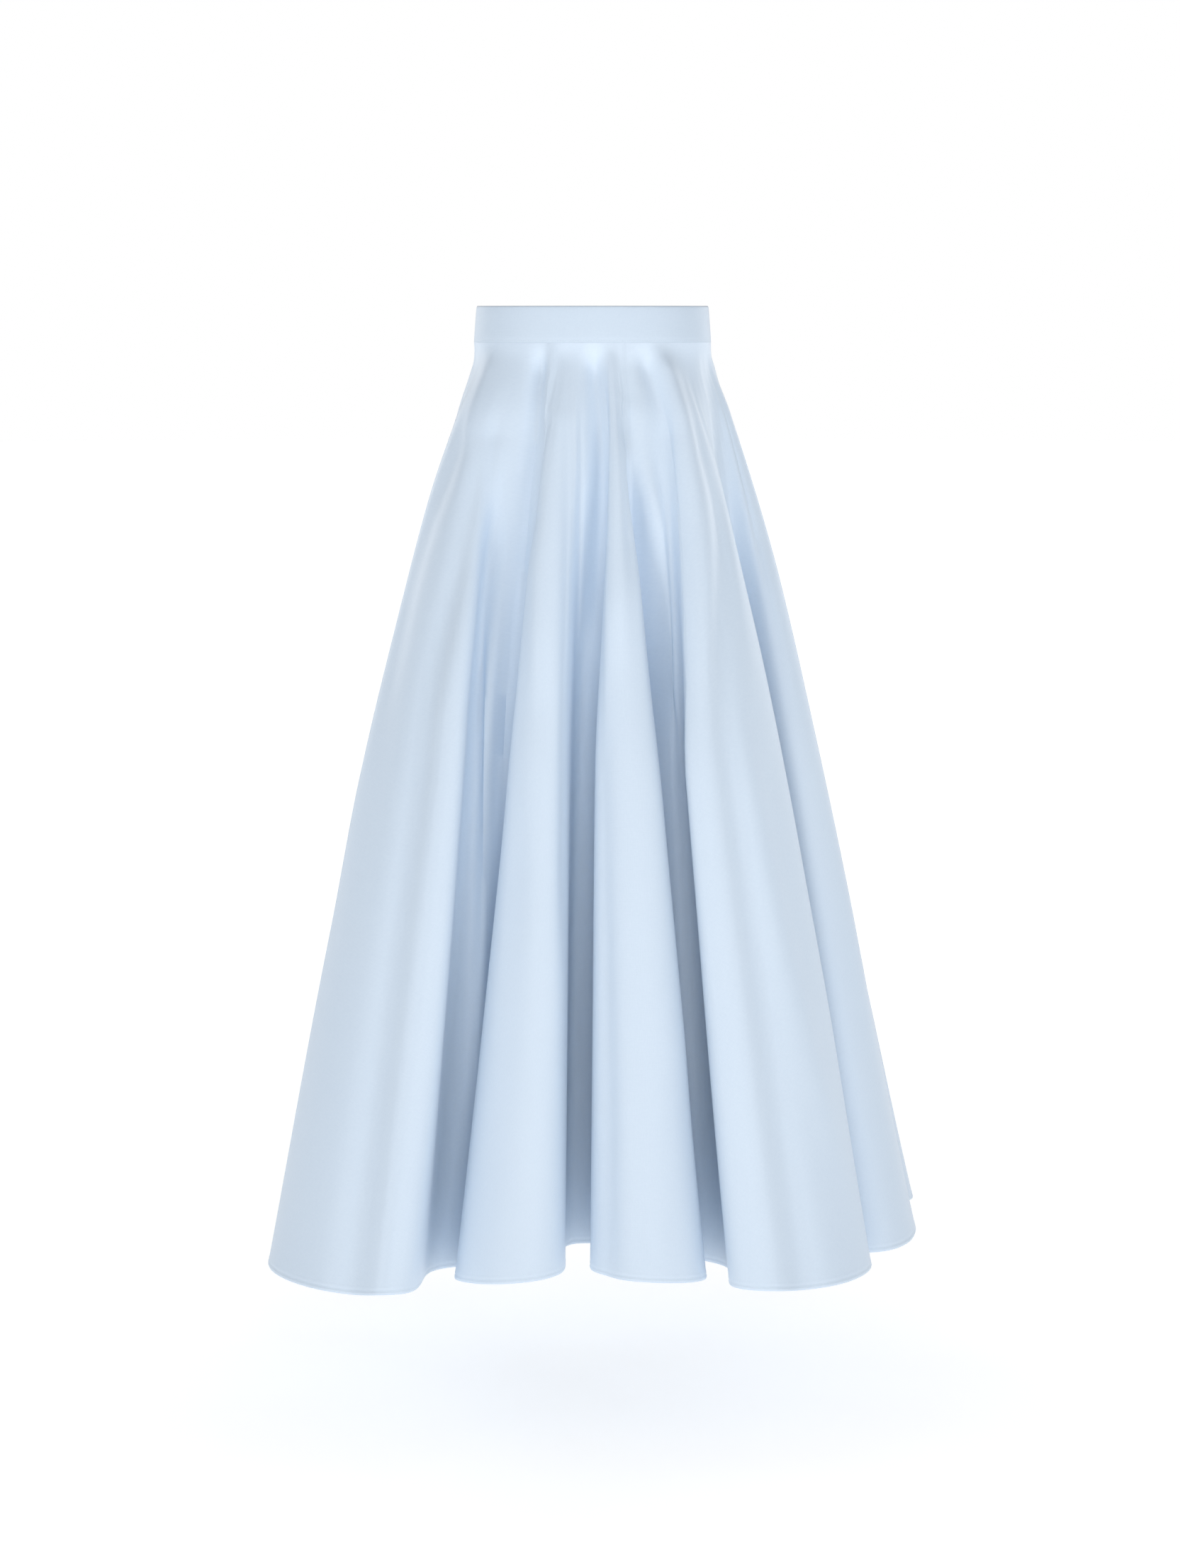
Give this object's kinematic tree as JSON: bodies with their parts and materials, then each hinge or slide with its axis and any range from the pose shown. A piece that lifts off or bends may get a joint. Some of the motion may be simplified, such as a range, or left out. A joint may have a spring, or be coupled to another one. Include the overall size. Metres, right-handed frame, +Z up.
{
  "type": "circle skirt",
  "caption": "Long circle skirt in pale satin, filled out as worn: a narrow shaped waistband, deep soft folds to a wide wavy hem, and a concealed zip at the back.",
  "frame": {"origin": "middle of the waistband, at half its height, where the wearer's waist holds the skirt", "axes": "+Z up, the front faces -Y, the wearer's right is at -X; the centre back seam and its zip lie at +Y"},
  "size_m": [0.6933, 0.6797, 0.9964],
  "materials": {
    "skirt_satin": "smooth mid-weight satin in pale ice blue with a soft sheen and a very fine weave",
    "waistband_satin": "the skirt's satin, doubled and stiffened, so it lies flat and plain",
    "zip_tape": "matt knitted zip tape dyed to match",
    "zip_metal": "enamelled to match the cloth, half gloss"
  },
  "bodies": {
    "root": {"waistband": "waistband_satin", "skirt_front": "skirt_satin", "skirt_back_right": "skirt_satin", "skirt_back_left": "skirt_satin", "zip_tape_right": "zip_tape", "zip_tape_left": "zip_tape", "zip_slider": "zip_metal"},
    "zip_pull": {"zip_pull": "zip_metal"}
  },
  "joints": [
    {"name": "zip_pull_swing", "type": "hinge", "parent": "root", "child": "zip_pull", "pos_m": [0, 0.09508, 0.0125], "axis": [1, 0, 0], "range_deg": [0, 170]}
  ]
}
